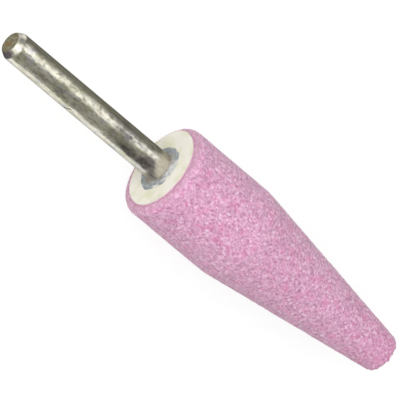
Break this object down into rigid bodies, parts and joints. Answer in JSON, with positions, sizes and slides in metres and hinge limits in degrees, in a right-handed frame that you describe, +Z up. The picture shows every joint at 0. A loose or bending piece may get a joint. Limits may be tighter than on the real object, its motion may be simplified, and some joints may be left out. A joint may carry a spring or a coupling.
{
  "type": "mounted point",
  "caption": "Mounted grinding point: an abrasive head with a straight barrel and a long tapered nose, cemented onto a plain steel shank for a collet, with a bare paper ring on its back face.",
  "frame": {"origin": "on the surface the tool lies on, under the middle of its whole length", "axes": "+X along the tool's axis towards the nose, -X towards the free end of the shank, +Z up from the surface it lies on"},
  "size_m": [0.1076, 0.02, 0.02],
  "materials": {
    "abrasive": "open-grained vitrified abrasive, pink",
    "steel": "plain drawn steel with a worn plating",
    "cement": "matt set cement, blue-grey",
    "paper": "uncoated cream paper, bare"
  },
  "bodies": {
    "root": {"abrasive_head": "abrasive", "shank": "steel", "cement": "cement", "paper_ring": "paper"}
  },
  "joints": []
}
